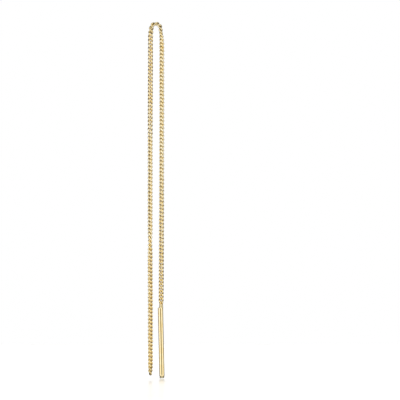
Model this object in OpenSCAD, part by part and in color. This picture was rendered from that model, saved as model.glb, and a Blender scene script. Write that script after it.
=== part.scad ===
// Threader earring: a fine curb chain bent over where it rests in the ear, with a round bar on one end.
// The chain hangs in two close runs. The origin is the resting point, under the top of the bend.
// -Y faces the viewer, the free end hangs at -X and the bar at +X.

/* [Chain] */
// Distance from one link's centre to the next
link_pitch = 0.755; // [0.72:0.005:0.9]
// Number of loose links
link_count = 172; // [160:1:180]
// Number of them in the free run's piece, counted from the free end
free_links = 88; // [60:1:120]
// Radius of a link's round ends
link_r = 0.35; // [0.33:0.01:0.4]
// Wire of a link in the straight runs
wire_d = 0.185; // [0.12:0.005:0.2]
// Wire of a link in the bend, where the links crowd each other
bend_wire_d = 0.15; // [0.1:0.005:0.17]

/* [Route] */
// Radius of the bend, to the middle of the chain
bend_r = 1.15; // [1.1:0.01:1.4]
// Height of the bend's centre below the resting point
bend_drop = 0.8; // [0.6:0.01:1.0]
// Length of the free run, from the bend's centre to the first link's centre
free_run = 69.95; // [60:0.05:80]
// How far the bar's end hangs in towards the free run
hang_in = 0.1; // [0:0.01:0.2]

/* [Bar] */
// Diameter of the bar
bar_d = 1.04; // [0.8:0.01:1.3]
// Length of the bar
bar_l = 14.3; // [10:0.1:20]
// Length of the worn taper around its lower edge
edge_l = 0.3; // [0.1:0.05:0.6]
// Width of that taper
edge_w = 0.09; // [0.02:0.01:0.2]
// Radius of its upper shoulder
shoulder_r = 0.12; // [0.05:0.01:0.3]
// Lean of the bar from upright, degrees
bar_lean = 1.2; // [0:0.1:3]
// How far the end loop sits off the bar's axis
loop_off = 0.16; // [0:0.01:0.2]
// Height of the solder neck, up to just under the middle of the end loop
solder_h = 0.74; // [0.4:0.02:0.74]
// Radius of the neck where it meets the bar
solder_r = 0.34; // [0.2:0.01:0.35]
// Width of the slope around the neck's upper edge
solder_edge = 0.12; // [0.05:0.01:0.2]

/* [Hidden] */
$fn = 14;
bar_fn = 48;
solder_in = 0.1;
arc_l = PI * bend_r;
end_at = link_pitch * link_count;
end_depth = end_at - free_run - arc_l;
bar_depth = end_depth + 0.75;
// Each round end is turned this far out of the link's plane, a 3-4-5 triangle
twist = asin(0.6);
side_x = 0.8 * link_r;
side_r = 0.6 * link_r;

// How far round its own length the chain has turned, by distance from the free end
turn_table = [
    // distance, turn
    [0, 102],
    [12.5, 109],
    [27, 120],
    [47, 138],
    [57, 180],
    [64, 205],
    [69.5, 268],
    [75, 270],
    [87, 295],
    [116.5, 318],
    [121.4, 340],
    [130, 362]
];

chain_free_run();
chain_bar_run();
threader_bar();

// Loose links from the free end up to just below the bend
module chain_free_run() {
    color([0.9, 0.72, 0.4])
        links(0, free_links - 1);
}

// Loose links over the bend and down to the bar
module chain_bar_run() {
    color([0.9, 0.72, 0.4])
        links(free_links, link_count - 1);
}

module links(first, last) {
    for (i = [first : last])
        on_route(i * link_pitch)
            link(wire_at(i * link_pitch));
}

// Round bar with its solder neck and the end loop, one solid
module threader_bar() {
    color([0.92, 0.75, 0.43])
        union() {
            on_route(end_at)
                link(wire_d);
            translate([bend_r - hang_in, 0, -bend_drop - bar_depth]) {
                solder_neck();
                rotate([0, -bar_lean, 0])
                    translate([-loop_off, 0, 0])
                        bar();
            }
        }
}

// The bar, its top at zero
module bar() {
    translate([0, 0, -bar_l])
        rotate_extrude($fn = bar_fn)
            polygon([
                [0, 0],
                [bar_d / 2 - edge_w, 0],
                [bar_d / 2, edge_l],
                [bar_d / 2, bar_l - shoulder_r],
                [bar_d / 2 - shoulder_r * 0.3, bar_l - shoulder_r * 0.3],
                [bar_d / 2 - shoulder_r, bar_l],
                [0, bar_l]
            ]);
}

// Solder drawn up around the lower half of the end loop, its foot sunk a little into the bar
module solder_neck() {
    rotate_extrude($fn = bar_fn)
        polygon([
            [0, -solder_in],
            [solder_r, -solder_in],
            [solder_r - 0.02, solder_h - solder_edge],
            [solder_r - 0.02 - solder_edge, solder_h],
            [0, solder_h]
        ]);
}

// Puts a link at a distance along the chain, turned as the chain is there
module on_route(s) {
    translate([0, 0, -bend_drop])
        translate(place_at(s))
            rotate([0, tilt_at(s), 0])
                rotate([0, 0, lookup(s, turn_table)])
                    children();
}

// One closed link: two half rings turned opposite ways, joined by two S-shaped sides of two quarter rings
module link(wire) {
    rotate([0, 0, -twist])
        translate([0, 0, side_r])
            rotate([90, 0, 0])
                ring_part(180, link_r, wire);
    rotate([0, 0, twist])
        translate([0, 0, -side_r])
            rotate([-90, 0, 0])
                ring_part(180, link_r, wire);
    for (side = [0, 180], up = [0, 180])
        rotate([0, 0, side])
            translate([side_x, 0, 0])
                rotate([up, 0, 0])
                    translate([0, 0, side_r])
                        rotate([180, 90, 0])
                            ring_part(90, side_r, wire);
}

module ring_part(angle, r, wire) {
    rotate_extrude(angle = angle)
        translate([r, 0])
            circle(d = wire);
}

function in_bend(s) = s > free_run - 0.9 && s < free_run + arc_l + 0.9;

function wire_at(s) = in_bend(s) ? bend_wire_d : wire_d;

// Degrees round the bend: 0 in the free run, 180 in the bar's run
function tilt_at(s) = min(max((s - free_run) / bend_r * 180 / PI, 0), 180);

// Centre of a link, from the bend's centre
function place_at(s) =
    s < free_run ? [-bend_r, 0, s - free_run]
    : s < free_run + arc_l ? [-bend_r * cos(tilt_at(s)), 0, bend_r * sin(tilt_at(s))]
    : [bend_r - hang_in * (s - free_run - arc_l) / end_depth, 0, free_run + arc_l - s];
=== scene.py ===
import math
import bpy
import numpy as np
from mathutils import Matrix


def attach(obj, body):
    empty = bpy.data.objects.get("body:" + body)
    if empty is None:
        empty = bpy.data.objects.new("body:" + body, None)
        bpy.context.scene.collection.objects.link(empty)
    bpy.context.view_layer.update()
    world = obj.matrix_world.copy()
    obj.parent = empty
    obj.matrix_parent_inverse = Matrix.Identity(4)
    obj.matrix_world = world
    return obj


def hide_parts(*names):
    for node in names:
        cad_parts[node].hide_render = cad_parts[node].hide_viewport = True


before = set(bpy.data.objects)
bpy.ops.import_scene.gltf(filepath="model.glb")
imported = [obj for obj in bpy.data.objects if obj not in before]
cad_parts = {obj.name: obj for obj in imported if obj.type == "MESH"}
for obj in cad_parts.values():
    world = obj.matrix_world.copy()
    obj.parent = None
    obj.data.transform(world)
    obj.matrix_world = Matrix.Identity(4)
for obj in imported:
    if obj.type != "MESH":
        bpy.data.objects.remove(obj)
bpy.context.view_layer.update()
mm = 0.001
print("frame loaded:", sorted(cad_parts))

# lengths are in millimetres, with the resting point in the ear as the origin and -Y towards the viewer;
# a mesh, lamp or camera takes them in metres, by way of mm


# helpers for shapes

def turnedZ(degrees):
    c, s = math.cos(math.radians(degrees)), math.sin(math.radians(degrees))
    return np.array([[c, -s, 0], [s, c, 0], [0, 0, 1.0]])


def turnedY(angle):
    c, s = math.cos(angle), math.sin(angle)
    return np.array([[c, 0, s], [0, 1.0, 0], [-s, 0, c]])


def fade(value, start, width):
    # 0 up to the start, then evenly up to 1 over the width
    return np.clip((value - start) / width, 0, 1)


def meshObject(name, verts, faces, material, values=None):
    mesh = bpy.data.meshes.new(name)
    mesh.from_pydata((np.asarray(verts) * mm).tolist(), [], [tuple(int(i) for i in f) for f in faces])
    mesh.polygons.foreach_set("use_smooth", [True] * len(mesh.polygons))
    for key, numbers in (values or {}).items():
        layer = mesh.attributes.new(key, "FLOAT", "POINT")
        layer.data.foreach_set("value", np.asarray(numbers, dtype=np.float32))
    mesh.materials.append(material)
    mesh.update()
    piece = bpy.data.objects.new(name, mesh)
    bpy.context.scene.collection.objects.link(piece)
    return piece


# helpers for nodes

def addNode(tree, kind, **settings):
    node = tree.nodes.new(kind)
    for key, value in settings.items():
        setattr(node, key, value)
    return node


def feed(tree, socket, value):
    # a socket takes what another node puts out, or a plain value
    if isinstance(value, bpy.types.NodeSocket):
        tree.links.new(value, socket)
    else:
        socket.default_value = value


def mathNode(tree, operation, first, second=0.0, clamp=False):
    node = addNode(tree, "ShaderNodeMath", operation=operation, use_clamp=clamp)
    feed(tree, node.inputs[0], first)
    feed(tree, node.inputs[1], second)
    return node.outputs[0]


def ranged(tree, value, low, high, newLow=0.0, newHigh=1.0):
    node = addNode(tree, "ShaderNodeMapRange")
    labels = ("Value", "From Min", "From Max", "To Min", "To Max")
    for label, number in zip(labels, (value, low, high, newLow, newHigh)):
        feed(tree, node.inputs[label], number)
    return node.outputs["Result"]


def noiseAt(tree, vector, scale, detail, roughness=0.5):
    node = addNode(tree, "ShaderNodeTexNoise")
    labels = ("Vector", "Scale", "Detail", "Roughness")
    for label, value in zip(labels, (vector, scale, detail, roughness)):
        feed(tree, node.inputs[label], value)
    return node.outputs["Fac"]


def stretched(tree, vector, scale, slant=(0, 0, 0)):
    node = addNode(tree, "ShaderNodeMapping")
    for label, value in (("Vector", vector), ("Scale", scale), ("Rotation", slant)):
        feed(tree, node.inputs[label], value)
    return node.outputs["Vector"]


def attributeAt(tree, name):
    return addNode(tree, "ShaderNodeAttribute", attribute_name=name).outputs["Fac"]


def mixedColour(tree, factor, first, second, blend="MIX"):
    node = addNode(tree, "ShaderNodeMix", data_type="RGBA", blend_type=blend)
    for label, value in (("Factor", factor), ("A", first), ("B", second)):
        feed(tree, node.inputs[label], value)
    return node.outputs["Result"]


def mixedShader(tree, factor, first, second):
    node = addNode(tree, "ShaderNodeMixShader")
    for socket, value in zip(node.inputs, (factor, first, second)):
        tree.links.new(value, socket)
    return node.outputs[0]


def newMaterial(name):
    material = bpy.data.materials.new(name)
    material.use_nodes = True
    return material, material.node_tree, material.node_tree.nodes["Principled BSDF"]


def newGroup(name, inputs, outputs):
    tree = bpy.data.node_groups.new(name, "ShaderNodeTree")
    for direction, sockets in (("INPUT", inputs), ("OUTPUT", outputs)):
        for label, kind in sockets:
            tree.interface.new_socket(label, in_out=direction, socket_type=kind)
    return tree, addNode(tree, "NodeGroupInput").outputs, addNode(tree, "NodeGroupOutput").inputs


# the surface that both golds share

goldSurface = {
    "lineStretch": (16.0, 16.0, 0.55),   # fine polishing lines, drawn out along the piece
    "lineGrain": 2.6,
    "lineHeight": 0.5,
    "scratchStretch": (9.0, 9.0, 1.3),   # a few deeper scratches among them, a little slanted
    "scratchSlant": (0.0, 0.32, 0.1),
    "scratchGrain": 1.7,
    "scratched": (0.66, 0.74),           # the part of the noise that becomes a scratch
    "scratchHeight": -0.8,
    "bumpStrength": 0.35,
    "paleGrain": 0.9,                    # broad places where the plating is paler
    "pale": (0.35, 0.68),
    "darkeningGrain": 7.0,                 # painted shade and tarnish break up in small spots
    "darkeningSpots": (0.3, 0.7),
    "leastDarkening": 0.35,                # what is left of it between the spots
}


def buildHairlines():
    # fine polishing lines along the piece, and a few deeper scratches among them
    look = goldSurface
    tree, given, out = newGroup("hairlines",
                                [("Vector", "NodeSocketVector"), ("Amount", "NodeSocketFloat")],
                                [("Height", "NodeSocketFloat"), ("Mask", "NodeSocketFloat")])
    alongPiece = stretched(tree, given["Vector"], look["lineStretch"])
    lines = noiseAt(tree, alongPiece, look["lineGrain"], detail=4.0, roughness=0.62)
    slanted = stretched(tree, given["Vector"], look["scratchStretch"], look["scratchSlant"])
    scratches = ranged(tree, noiseAt(tree, slanted, look["scratchGrain"], detail=2.0), *look["scratched"])
    raisedLines = mathNode(tree, "MULTIPLY", lines, look["lineHeight"])
    sunkScratches = mathNode(tree, "MULTIPLY", scratches, look["scratchHeight"])
    height = mathNode(tree, "ADD", raisedLines, sunkScratches)
    feed(tree, out["Height"], mathNode(tree, "MULTIPLY", height, given["Amount"]))
    feed(tree, out["Mask"], mathNode(tree, "MULTIPLY", scratches, given["Amount"], clamp=True))
    return tree


def buildPlateToneAndShade():
    # plating that is a little paler in some places than in others, and darkened by painted shade and tarnish
    # where the mesh's mask says
    look = goldSurface
    tree, given, out = newGroup("plateToneAndShade", [("Vector", "NodeSocketVector"), ("Gold", "NodeSocketColor"),
                                              ("Paler", "NodeSocketColor"), ("ShadeAndTarnishColour", "NodeSocketColor"),
                                              ("Hidden", "NodeSocketFloat"), ("Shift", "NodeSocketFloat")],
                                [("Color", "NodeSocketColor"), ("Darkening", "NodeSocketFloat")])
    broad = ranged(tree, noiseAt(tree, given["Vector"], look["paleGrain"], detail=2.0), *look["pale"])
    pale = mathNode(tree, "ADD", broad, given["Shift"], clamp=True)
    plated = mixedColour(tree, pale, given["Gold"], given["Paler"])
    close = noiseAt(tree, given["Vector"], look["darkeningGrain"], detail=3.0, roughness=0.6)
    spots = ranged(tree, close, *look["darkeningSpots"], look["leastDarkening"], 1.0)
    # painted shade: the mask darkens the plating towards the dark colour, broken up in spots
    darkening = mathNode(tree, "MULTIPLY", given["Hidden"], spots, clamp=True)
    feed(tree, out["Color"], mixedColour(tree, darkening, plated, given["ShadeAndTarnishColour"]))
    feed(tree, out["Darkening"], darkening)
    return tree


hairlines = buildHairlines()
plateToneAndShade = buildPlateToneAndShade()


def goldMaterial(name, finish):
    material, tree, shader = newMaterial(name)
    shader.inputs["Metallic"].default_value = 1.0
    inMillimetres = addNode(tree, "ShaderNodeVectorMath", operation="SCALE")
    inMillimetres.inputs["Scale"].default_value = 1 / mm
    feed(tree, inMillimetres.inputs[0], addNode(tree, "ShaderNodeTexCoord").outputs["Object"])
    vector = inMillimetres.outputs["Vector"]
    tone = addNode(tree, "ShaderNodeGroup", node_tree=plateToneAndShade)
    for label, key in (("Gold", "gold"), ("Paler", "palerGold"), ("ShadeAndTarnishColour", "shadeAndTarnishColour")):
        tone.inputs[label].default_value = (*finish[key], 1)
    feed(tree, tone.inputs["Vector"], vector)
    # the mesh's mask of painted shade and tarnish
    feed(tree, tone.inputs["Hidden"], attributeAt(tree, "shadeAndTarnish"))
    feed(tree, tone.inputs["Shift"], attributeAt(tree, "toneShift"))
    feed(tree, shader.inputs["Base Color"], tone.outputs["Color"])
    lines = addNode(tree, "ShaderNodeGroup", node_tree=hairlines)
    lines.inputs["Amount"].default_value = finish["hairlines"]
    feed(tree, lines.inputs["Vector"], vector)
    bump = addNode(tree, "ShaderNodeBump")
    bump.inputs["Strength"].default_value = goldSurface["bumpStrength"]
    bump.inputs["Distance"].default_value = finish["hairlineDepth"] * mm
    feed(tree, bump.inputs["Height"], lines.outputs["Height"])
    feed(tree, shader.inputs["Normal"], bump.outputs["Normal"])
    return material, vector, tone.outputs["Darkening"], lines.outputs["Mask"]


def setRoughness(material, rough, additions):
    # scratches and the darkened places (painted shade and tarnish) roughen the polish
    tree = material.node_tree
    for mask, amount in additions:
        rough = mathNode(tree, "ADD", rough, mathNode(tree, "MULTIPLY", mask, amount), clamp=True)
    feed(tree, tree.nodes["Principled BSDF"].inputs["Roughness"], rough)


print("gold surface ready")


# the chain, all its loose links in one object

chain = {
    "pitch": 0.7535,        # from one link's centre to the next
    "count": 172,
    "wire": 0.332,
    "endRadius": 0.366,     # half of a link's width, to the middle of its wire
    "endHeight": 0.91,      # height of a round end against its radius
    "halfSide": 0.225,
    "twist": 45.0,          # how far each end is turned out of the link's plane
    "twistReach": 0.35,     # how far up a round end the twist goes on
    "pathPoints": 42,
    "wireSides": 12,
    "turnSlack": 2.2,       # degrees that a link may hang off its place
    "sideSlack": 0.012,
    "toneSlack": 0.12,
    "springing": 0.8,       # the bend's springing line, below the resting point
    "freeRun": 70.05,       # from that line down to the free end's first link
    "rounding": 0.22,       # how far the corners of the middle line are rounded over
    # middle of the chain from the free end over the bend to the bar, across and up from the springing line
    "middle": [(-1.155, -71.0), (-1.157, -60), (-1.171, -53), (-1.206, -48), (-1.212, -38), (-1.197, -20),
               (-1.169, -12), (-1.15, -7.6), (-1.15, -3.0), (-1.136, -2.0), (-1.13, -1.4), (-1.10, -0.8),
               (-1.05, -0.3), (-0.99, 0.2), (-0.92, 0.56), (-0.75, 0.94), (-0.44, 1.16), (-0.05, 1.2),
               (0.32, 1.14), (0.64, 0.96), (0.84, 0.64), (0.92, 0.28), (0.94, -0.1), (0.99, -0.45),
               (1.04, -0.85), (1.10, -1.4), (1.15, -1.9), (1.165, -2.6), (1.163, -16), (1.15, -25),
               (1.132, -35), (1.107, -39), (1.103, -44), (1.077, -48), (1.056, -53), (1.04, -57),
               (1.03, -60)],
    # how many degrees the chain has turned round its own length, by distance from the free end
    "turn": [(0, 75), (0.8, 60), (1.6, 50), (3, 46), (24, 46), (29, 131), (48, 132), (51, 196), (55, 202),
             (59, 176), (66, 172), (69, 205), (70.3, 255), (71.4, 280), (73.4, 280), (74.6, 260), (76, 232),
             (103, 228), (110, 217), (120, 213), (127, 178), (130, 172)],
    # by the same distance: how pale the plating is, how much painted shade and tarnish darken the insides of
    # the links, and how much painted shade darkens them all over
    "tone": [(0, -0.5), (18, -0.45), (27, 0.05), (38, 0.3), (50, 0.25), (60, -0.2), (72, 0.0), (80, 0.2),
             (105, 0.3), (115, 0.0), (130, -0.25)],
    "shadeAndTarnishInside": [(0, 2.0), (1.3, 1.4), (2, 0.8), (22, 0.8), (28, 1.1), (50, 1.2), (57, 1.3), (68, 1.2),
                  (69.5, 2.3), (73, 2.2), (76, 0.6), (104, 0.5), (112, 1.3), (130, 1.8)],
    # painted shade all over the links at the free end and on the bend's shoulders
    "paintedShadeOver": [(0, 0.35), (0.8, 0.35), (1.5, 0), (69.4, 0), (70.2, 0.4), (71.2, 0.55), (71.8, 0.35),
                      (73.8, 0.35), (75.2, 0.1), (76, 0)],
    "rubbedBeyond": (0.36, 0.18),   # from this far off the link's own axis, and full after the second more
    "endsBeyond": (0.12, 0.35),     # the same up and down from its centre, where the next link sits
    "hiddenFrom": 0.15,             # how far inwards a point has to face before it gets painted shade and tarnish
    "hiddenInSides": 0.45,          # how much painted shade and tarnish the insides of the sides get, against 1 in the ends
    "gold": (0.875, 0.705, 0.355),
    "palerGold": (0.93, 0.835, 0.60),
    # dark colour for the painted shade and tarnish inside the links
    "shadeAndTarnishColour": (0.20, 0.165, 0.10),
    "roughness": 0.17,
    "rubbedRoughness": 0.30,
    "rubbedGrain": 5.0,
    "rubbedPatches": (0.3, 0.72),
    "leastRubbed": 0.2,
    "darkeningRoughness": 0.25,
    "hairlines": 0.7,
    "hairlineDepth": 0.004,
}


def atDistance(key, s):
    return float(np.interp(s, [row[0] for row in chain[key]], [row[1] for row in chain[key]]))


def distancesAlong(line):
    return np.concatenate([[0], np.cumsum(np.linalg.norm(np.diff(line, axis=0), axis=1))])


def smoothMiddle():
    # the table's rows joined in small steps and rounded over, starting at the free end's first link
    step, reach = 0.02, 40
    rows = np.array(chain["middle"])
    along = distancesAlong(rows)
    even = np.arange(0, along[-1], step)
    weights = np.exp(-(np.arange(-reach, reach + 1) * step / chain["rounding"]) ** 2 / 2)
    weights /= weights.sum()
    line = [np.convolve(np.interp(even, along, rows[:, k]), weights, "valid") for k in (0, 1)]
    line = np.stack(line, 1)
    line = line[(line[:, 1] > -chain["freeRun"]) | (line[:, 0] > 0)]
    return distancesAlong(line), line


middleAlong, middleLine = smoothMiddle()


def middleAt(s):
    return np.array([np.interp(s, middleAlong, middleLine[:, k]) for k in (0, 1)])


def placeOnRoute(s):
    # a link's centre and turn at a distance from the free end
    nearby = 0.1
    across, up = middleAt(s)
    tilt = math.atan2(*(middleAt(s + nearby) - middleAt(s - nearby)))
    return np.array([across, 0, up - chain["springing"]]), turnedY(tilt) @ turnedZ(atDistance("turn", s))


def linkPath():
    # a long round-ended loop, its upper end turned one way and its lower end the other
    radius, half = chain["endRadius"], chain["halfSide"]
    rise = chain["endHeight"] * radius
    endPoints, sidePoints = chain["pathPoints"] // 3, chain["pathPoints"] // 6
    flat = []
    for sign in (1, -1):
        for k in range(endPoints):
            v = math.pi * k / endPoints
            flat.append((sign * radius * math.cos(v), sign * (half + rise * math.sin(v))))
        for k in range(sidePoints):
            flat.append((-sign * radius, sign * (half - 2 * half * k / sidePoints)))
    reach = half + chain["twistReach"] * rise
    path = []
    for x, z in flat:
        u = min(max(z / reach, -1), 1)
        angle = -math.radians(chain["twist"]) * math.sin(u * math.pi / 2)
        path.append((x * math.cos(angle), x * math.sin(angle), z))
    path = np.array(path)
    # two gentle rounds of smoothing take the corners out where sides and ends meet
    for _ in range(2):
        path = 0.5 * path + 0.25 * (np.roll(path, 1, 0) + np.roll(path, -1, 0))
    return path


def sweepClosed(path, radius, sides):
    # round wire along a closed path, with its small closing turn spread over the whole way
    n = len(path)
    ahead = np.roll(path, -1, 0) - np.roll(path, 1, 0)
    ahead /= np.linalg.norm(ahead, axis=1)[:, None]
    anyWay = [0.3, 1.0, 0.2]   # a direction in which the wire never runs
    up = np.cross(ahead[0], anyWay)
    up /= np.linalg.norm(up)
    ups = [up]
    for k in range(1, n + 1):
        t = ahead[k % n]
        up = ups[-1] - np.dot(ups[-1], t) * t
        ups.append(up / np.linalg.norm(up))
    side = np.cross(ahead[0], ups[0])
    miss = math.atan2(np.dot(ups[n], side), np.dot(ups[n], ups[0]))
    verts, faces = [], []
    for k in range(n):
        side = np.cross(ahead[k], ups[k])
        here, after = k * sides, (k + 1) % n * sides
        for j in range(sides):
            v = 2 * math.pi * j / sides - miss * k / n
            verts.append(path[k] + radius * (math.cos(v) * ups[k] + math.sin(v) * side))
            nextJ = (j + 1) % sides
            faces.append((here + j, here + nextJ, after + nextJ, after + j))
    return np.array(verts), np.array(faces)


def linkWearAndShade(verts, path):
    # how far each point is rubbed, outermost, and how far it is hidden inside where the next link sits,
    # which sets its painted shade and tarnish
    centre = path.mean(0)
    rubbed = fade(np.linalg.norm((verts - centre)[:, :2], axis=1), *chain["rubbedBeyond"])
    nearest = np.repeat(path, chain["wireSides"], 0)
    outward = nearest - centre
    outward /= np.linalg.norm(outward, axis=1)[:, None]
    facing = ((verts - nearest) / (chain["wire"] / 2) * outward).sum(1)
    atEnds = fade(np.abs(nearest[:, 2]), *chain["endsBeyond"])
    sides = chain["hiddenInSides"]
    shadeAndTarnish = fade(-facing, chain["hiddenFrom"], 1) * (sides + (1 - sides) * atEnds)
    return rubbed, shadeAndTarnish


def chainGold():
    material, vector, darkening, _ = goldMaterial("chainGold", chain)
    tree = material.node_tree
    patchy = ranged(tree, noiseAt(tree, vector, chain["rubbedGrain"], detail=3.0), *chain["rubbedPatches"],
                    chain["leastRubbed"], 1.0)
    wear = mathNode(tree, "MULTIPLY", attributeAt(tree, "rubbed"), patchy, clamp=True)
    rough = ranged(tree, wear, 0.0, 1.0, chain["roughness"], chain["rubbedRoughness"])
    setRoughness(material, rough, [(darkening, chain["darkeningRoughness"])])
    return material


def buildChain():
    path = linkPath()
    verts, faces = sweepClosed(path, chain["wire"] / 2, chain["wireSides"])
    rubbed, shadeAndTarnish = linkWearAndShade(verts, path)
    slack = np.random.default_rng(4)
    allVerts, allFaces, shifts, darkenedLinks = [], [], [], []
    for i in range(chain["count"]):
        s = i * chain["pitch"]
        place, turn = placeOnRoute(s)
        turn = turn @ turnedZ(slack.normal(0, chain["turnSlack"] / 2))
        place = place + np.array([slack.normal(0, 1), slack.normal(0, 1), 0]) * chain["sideSlack"] / 2
        allVerts.append(verts @ turn.T + place)
        allFaces.append(faces + len(verts) * i)
        tone = slack.uniform(-chain["toneSlack"], chain["toneSlack"]) + atDistance("tone", s)
        shifts.append(np.full(len(verts), tone))
        # painted shade and tarnish inside the links, and painted shade all over them at the free end and on
        # the bend's shoulders
        darkenedLinks.append(shadeAndTarnish * atDistance("shadeAndTarnishInside", s) + atDistance("paintedShadeOver", s))
    values = {"rubbed": np.tile(rubbed, chain["count"]), "shadeAndTarnish": np.concatenate(darkenedLinks),
              "toneShift": np.concatenate(shifts)}
    return meshObject("chainLinks", np.concatenate(allVerts), np.concatenate(allFaces), chainGold(), values)


chainLinks = buildChain()
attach(chainLinks, "root")
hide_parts("chain_free_run", "chain_bar_run")
print("chain:", len(chainLinks.data.polygons) * 2, "triangles")


# the bar, with the solder neck on its top and the last link closed up into that neck

bar = {
    "diameter": 1.07,
    "length": 14.42,
    "lean": 1.23,           # degrees, its lower end towards +X
    "loopOffset": 0.14,     # the end loop sits this far off the bar's axis
    "belowLoop": 0.75,      # the bar's top below the loop's centre
    "shoulder": 0.13,
    "pointsAround": 72,
    # the worn lower edge, in from the bar's side and up from its end
    "wornEdge": [(0.16, 0), (0.115, 0.015), (0.095, 0.06), (0.075, 0.36), (0.035, 0.42), (0.008, 0.47),
                 (0, 0.53)],
    "neckRadius": 0.42,
    "neckHeight": 0.74,     # up to the middle of the end loop
    "neckPointsAround": 48,
    # the neck's side, in from its radius and up from the bar's top, and its rim, down from the neck's top
    "neckSide": [(0, -0.13), (0, 0), (0.012, 0.05), (0.025, 0.14), (0.028, 0.30), (0.03, 0.5)],
    "neckRim": [(0.045, 0.13), (0.085, 0.06), (0.15, 0.015), (0.24, 0)],
    "loopClosed": 0.42,             # width of the loop inside the neck, against its full width
    "loopOpens": (-0.02, 0.32),     # from this far above its centre, and fully open after the second more
    "cornerShade": 0.5,           # painted shade in the corner between solder and shoulder
    "cornerBand": (0.05, 0.09),     # height above the bar's top, and half width
    "neckDarkening": 0.42,
    "neckBand": (0.02, 0.08),       # from this height up, and full after the second number more
    "edgeDarkening": 1.3,
    "edgeBand": (0.44, 0.06),       # from this height above the lower end down, in the same way
    "gold": (0.90, 0.73, 0.41),
    "palerGold": (0.93, 0.81, 0.55),
    # dark colour for the painted shade in the corner, and for the darker neck and lower end
    "shadeAndTarnishColour": (0.36, 0.32, 0.20),
    "roughness": 0.07,
    "hazeRoughness": 0.15,
    "hazeGrain": 1.4,
    "hazed": (0.42, 0.72),
    "scratchRoughness": 0.12,
    "darkeningRoughness": 0.3,
    "hairlines": 1.0,
    "hairlineDepth": 0.006,
}


def barGold():
    material, vector, darkening, scratches = goldMaterial("barGold", bar)
    tree = material.node_tree
    haze = ranged(tree, noiseAt(tree, vector, bar["hazeGrain"], detail=4.0, roughness=0.6), *bar["hazed"])
    rough = ranged(tree, haze, 0.0, 1.0, bar["roughness"], bar["hazeRoughness"])
    setRoughness(material, rough, [(scratches, bar["scratchRoughness"]), (darkening, bar["darkeningRoughness"])])
    return material


def lathe(profile, sides):
    verts, faces = [], []
    for radius, z in profile:
        for j in range(sides):
            v = 2 * math.pi * j / sides
            verts.append((radius * math.cos(v), radius * math.sin(v), z))
    for k in range(len(profile) - 1):
        for j in range(sides):
            a, b = k * sides + j, k * sides + (j + 1) % sides
            faces.append((a, b, b + sides, a + sides))
    # both ends close on a point of the axis
    low, high = len(verts), len(verts) + 1
    verts += [(0, 0, profile[0][1]), (0, 0, profile[-1][1])]
    last = (len(profile) - 1) * sides
    for j in range(sides):
        faces.append((low, (j + 1) % sides, j))
        faces.append((high, last + j, last + (j + 1) % sides))
    return np.array(verts, dtype=float), faces


def barOutline():
    # from the worn lower edge up to the rounded shoulder, its top at zero
    radius, length, r = bar["diameter"] / 2, bar["length"], bar["shoulder"]
    lowerRing, upperRing, sideRows, shoulderRows = 0.02, 0.1, 24, 8
    edge = [(radius - inward, up - length) for inward, up in bar["wornEdge"]]
    rise = -r - edge[-1][1]
    side = [(radius, edge[-1][1] + rise * k / sideRows) for k in range(1, sideRows + 1)]
    angles = [math.pi / 2 * k / shoulderRows for k in range(1, shoulderRows + 1)]
    shoulder = [(radius - r + r * math.cos(v), -r + r * math.sin(v)) for v in angles]
    return [(lowerRing, -length)] + edge + side + shoulder + [(upperRing, 0.0)]


def neckOutline():
    radius, top, upperRing = bar["neckRadius"], bar["neckHeight"], 0.02
    side = [(radius - inward, up) for inward, up in bar["neckSide"]]
    rim = [(radius - inward, top - down) for inward, down in bar["neckRim"]]
    return side + rim + [(upperRing, top)]


def endLoop():
    # its lower half closes up into the neck; this side of the bend a link's own +Z points down
    loop = linkPath()
    opened = fade(-loop[:, 2], *bar["loopOpens"])
    loop[:, :2] *= (bar["loopClosed"] + (1 - bar["loopClosed"]) * opened)[:, None]
    return sweepClosed(loop, chain["wire"] / 2, chain["wireSides"])


def barDarkening(fromTop):
    # painted shade in the corner between solder and shoulder; the neck and the lower end are made darker all
    # over
    corner = np.exp(-((fromTop - bar["cornerBand"][0]) / bar["cornerBand"][1]) ** 2)
    neck = fade(fromTop, *bar["neckBand"])
    fromEnd = fromTop + bar["length"]
    edge = fade(-fromEnd, -bar["edgeBand"][0], bar["edgeBand"][1])
    return corner * bar["cornerShade"] + neck * bar["neckDarkening"] + edge * bar["edgeDarkening"]


def buildBar():
    barVerts, barFaces = lathe(barOutline(), bar["pointsAround"])
    neckVerts, neckFaces = lathe(neckOutline(), bar["neckPointsAround"])
    loopVerts, loopFaces = endLoop()
    place, turn = placeOnRoute(chain["pitch"] * chain["count"])
    top = place - np.array([0, 0, bar["belowLoop"]])
    leaning = turnedY(math.radians(-bar["lean"]))
    barVerts = (barVerts - np.array([bar["loopOffset"], 0, 0])) @ leaning.T + top
    verts, faces, base = [], [], 0
    for partVerts, partFaces in ((barVerts, barFaces), (neckVerts + top, neckFaces),
                                 (loopVerts @ turn.T + place, loopFaces)):
        faces += [tuple(int(i) + base for i in face) for face in partFaces]
        verts.append(partVerts)
        base += len(partVerts)
    verts = np.concatenate(verts)
    values = {"shadeAndTarnish": barDarkening(verts[:, 2] - top[2]), "toneShift": np.zeros(len(verts))}
    return meshObject("threaderBar", verts, faces, barGold(), values)


threaderBar = buildBar()
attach(threaderBar, "root")
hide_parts("threader_bar")
print("bar:", len(threaderBar.data.polygons) * 2, "triangles")


# the studio: floor, light and camera

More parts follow.
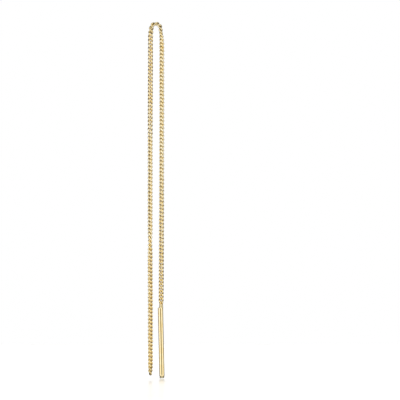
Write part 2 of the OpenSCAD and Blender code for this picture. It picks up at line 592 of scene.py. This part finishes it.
studio = {
    "floorGap": 0.10,       # the floor below the bar's tip
    "floorSize": 420.0,
    "floorTone": 0.74,
    "floorSpecular": 0.2,
    "floorGrain": 60.0,
    "floorSpots": (0.3, 0.7),
    "floorRoughness": (0.27, 0.34),
    "floorGlow": 0.47,
    "footX": 1.15,          # where the bar's foot is
    "footGloss": 0.68,      # how glossy the floor is there
    "glossReach": (2.0, 34.0),   # full gloss up to the first distance, none beyond the second
    "glossRoughness": 0.025,
    "glossFade": 8,         # how fast the gloss goes as the view rises off the floor
    # light around the object by how far a direction points away from the viewer, 0 in front to 1 behind
    "level": [(0.0, (0.38, 0.32, 0.18)), (0.03, (0.42, 0.36, 0.21)), (0.065, (1.18, 1.18, 1.16)),
              (0.36, (1.18, 1.18, 1.18)), (0.50, (0.5, 0.5, 0.5)), (0.60, (0.24, 0.24, 0.24)),
              (0.94, (0.20, 0.20, 0.20)), (0.98, (1, 1, 1))],
    "raised": [(0.0, (1.5, 1.48, 1.42)), (0.32, (1.5, 1.5, 1.5)), (0.45, (0.5, 0.5, 0.5)),
               (0.55, (0.10, 0.09, 0.07)), (0.95, (0.08, 0.07, 0.05)), (0.99, (1, 1, 1))],
    "raisedFrom": (0.14, 0.34),     # steepness of a direction, up or down, where the second list takes over
    # the same from the viewer's left to the right
    "sideways": [(0.0, (1.1, 1.1, 1.1)), (0.5, (1.0, 1.0, 1.0)), (1.0, (1.08, 1.03, 0.92))],
    "overhead": 0.60,               # how much light is left high above and far below
    "overheadFrom": (0.35, 0.8),
    "poles": (1.2, 1.08, 0.84),     # warm light straight above and straight below
    "polesFrom": (0.90, 0.97),
    # soft lamps: place, size and watts
    "lamps": {"leftSoft": ((-300, -280, 300), (120, 120), 0.12),
              "rightSoft": ((300, -280, 300), (120, 120), 0.12),
              "backSoft": ((0, 330, 330), (160, 120), 0.2)},
    "lampTarget": (0, 0, -36),
    "cameraDistance": 900.0,
    "sensor": 36.0,
    "photoSize": 400,               # pixels
    "photoPixel": 0.2047,           # millimetres at the object
    "bendPixel": (156.05, 29.8),    # where the middle of the springing line is, across and down
}


def glossyFoot(tree, coords, floorZ):
    # how glossy the floor is: most around the bar's foot, and only at a shallow view
    foot = addNode(tree, "ShaderNodeVectorMath", operation="DISTANCE")
    feed(tree, foot.inputs[0], coords)
    foot.inputs[1].default_value = (studio["footX"] * mm, 0, floorZ * mm)
    full, none = studio["glossReach"]
    near = ranged(tree, foot.outputs["Value"], full * mm, none * mm, studio["footGloss"], 0.0)
    grazing = addNode(tree, "ShaderNodeLayerWeight")
    grazing.inputs["Blend"].default_value = 0.5
    shallow = mathNode(tree, "POWER", grazing.outputs["Facing"], studio["glossFade"])
    return mathNode(tree, "MULTIPLY", near, shallow)


def buildFloor():
    z = min(v.co.z for v in threaderBar.data.vertices) / mm - studio["floorGap"]
    material, tree, shader = newMaterial("paleFloor")
    coords = addNode(tree, "ShaderNodeTexCoord").outputs["Object"]
    grain = noiseAt(tree, coords, studio["floorGrain"], detail=2.0)
    rough = ranged(tree, grain, *studio["floorSpots"], *studio["floorRoughness"])
    feed(tree, shader.inputs["Roughness"], rough)
    shader.inputs["Base Color"].default_value = (*[studio["floorTone"]] * 3, 1)
    shader.inputs["Specular IOR Level"].default_value = studio["floorSpecular"]
    # lit from under its sheet, so that it's as pale as the background
    glow = addNode(tree, "ShaderNodeEmission")
    glow.inputs["Strength"].default_value = studio["floorGlow"]
    pale = addNode(tree, "ShaderNodeAddShader")
    feed(tree, pale.inputs[0], shader.outputs[0])
    feed(tree, pale.inputs[1], glow.outputs[0])
    gloss = addNode(tree, "ShaderNodeBsdfGlossy")
    gloss.inputs["Color"].default_value = (1, 1, 1, 1)
    gloss.inputs["Roughness"].default_value = studio["glossRoughness"]
    polished = mixedShader(tree, glossyFoot(tree, coords, z), pale.outputs[0], gloss.outputs[0])
    # the camera sees the floor, and the gold sees the soft light below the horizon instead
    through = addNode(tree, "ShaderNodeBsdfTransparent")
    seen = addNode(tree, "ShaderNodeLightPath").outputs["Is Camera Ray"]
    surface = mixedShader(tree, seen, through.outputs[0], polished)
    feed(tree, tree.nodes["Material Output"].inputs["Surface"], surface)
    half = studio["floorSize"] / 2
    corners = [(-half, -half, z), (half, -half, z), (half, half, z), (-half, half, z)]
    meshObject("floor", corners, [(0, 1, 2, 3)], material)


def rampOf(tree, value, stops):
    ramp = addNode(tree, "ShaderNodeValToRGB")
    feed(tree, ramp.inputs["Fac"], value)
    elements = ramp.color_ramp.elements
    while len(elements) < len(stops):
        elements.new(0.5)
    for element, (place, light) in zip(elements, stops):
        element.position = place
        element.color = (*light, 1)
    return ramp.outputs["Color"]


def buildWorld():
    # plain soft studio light: a dim front, bright sides, a dim ring behind, and white where the camera looks
    world = bpy.data.worlds.new("softStudio")
    bpy.context.scene.world = world
    world.use_nodes = True
    tree = world.node_tree
    background = tree.nodes["Background"]
    direction = addNode(tree, "ShaderNodeSeparateXYZ")
    feed(tree, direction.inputs[0], addNode(tree, "ShaderNodeTexCoord").outputs["Generated"])
    across, away = (ranged(tree, direction.outputs[axis], -1.0, 1.0) for axis in ("X", "Y"))
    steep = mathNode(tree, "ABSOLUTE", direction.outputs["Z"])
    level, raised = (rampOf(tree, away, studio[key]) for key in ("level", "raised"))
    light = mixedColour(tree, ranged(tree, steep, *studio["raisedFrom"]), level, raised)
    light = mixedColour(tree, 1.0, light, rampOf(tree, across, studio["sideways"]), "MULTIPLY")
    # bright again straight up and down, so that bar and bend stay gold when seen from above
    light = mixedColour(tree, ranged(tree, steep, *studio["polesFrom"]), light, (*studio["poles"], 1))
    feed(tree, background.inputs["Color"], light)
    strength = ranged(tree, steep, *studio["overheadFrom"], 1.0, studio["overhead"])
    feed(tree, background.inputs["Strength"], strength)
    white = addNode(tree, "ShaderNodeBackground")
    white.inputs["Color"].default_value = (1, 1, 1, 1)
    seen = addNode(tree, "ShaderNodeLightPath").outputs["Is Camera Ray"]
    surface = mixedShader(tree, seen, background.outputs[0], white.outputs[0])
    feed(tree, tree.nodes["World Output"].inputs["Surface"], surface)


def buildLamp(name, place, size, watts):
    data = bpy.data.lights.new(name, "AREA")
    data.shape = "RECTANGLE"
    data.size, data.size_y = size[0] * mm, size[1] * mm
    data.energy = watts
    lamp = bpy.data.objects.new(name, data)
    bpy.context.scene.collection.objects.link(lamp)
    lamp.location = [v * mm for v in place]
    aim = np.array(studio["lampTarget"]) - np.array(place)
    tip = math.atan2(math.hypot(aim[0], aim[1]), -aim[2])
    lamp.rotation_euler = (tip, 0, math.atan2(aim[1], aim[0]) - math.pi / 2)


def buildCamera():
    # straight from the front, placed so that the bend falls on its pixel in the photo
    distance, pixel, photoSize = studio["cameraDistance"], studio["photoPixel"], studio["photoSize"]
    data = bpy.data.cameras.new("photoCamera")
    data.sensor_width = studio["sensor"]
    data.lens = studio["sensor"] * distance / (photoSize * pixel)
    data.clip_start, data.clip_end = 0.01, 10   # metres
    camera = bpy.data.objects.new("photoCamera", data)
    bpy.context.scene.collection.objects.link(camera)
    across, down = (photoSize / 2 - place for place in studio["bendPixel"])
    camera.location = (across * pixel * mm, -distance * mm, -(chain["springing"] + down * pixel) * mm)
    camera.rotation_euler = (math.pi / 2, 0, 0)
    bpy.context.scene.camera = camera


buildFloor()
buildWorld()
for name, (place, size, watts) in studio["lamps"].items():
    buildLamp(name, place, size, watts)
bpy.context.scene.view_settings.view_transform = "Standard"
print("floor and light ready")
buildCamera()
print("camera ready")
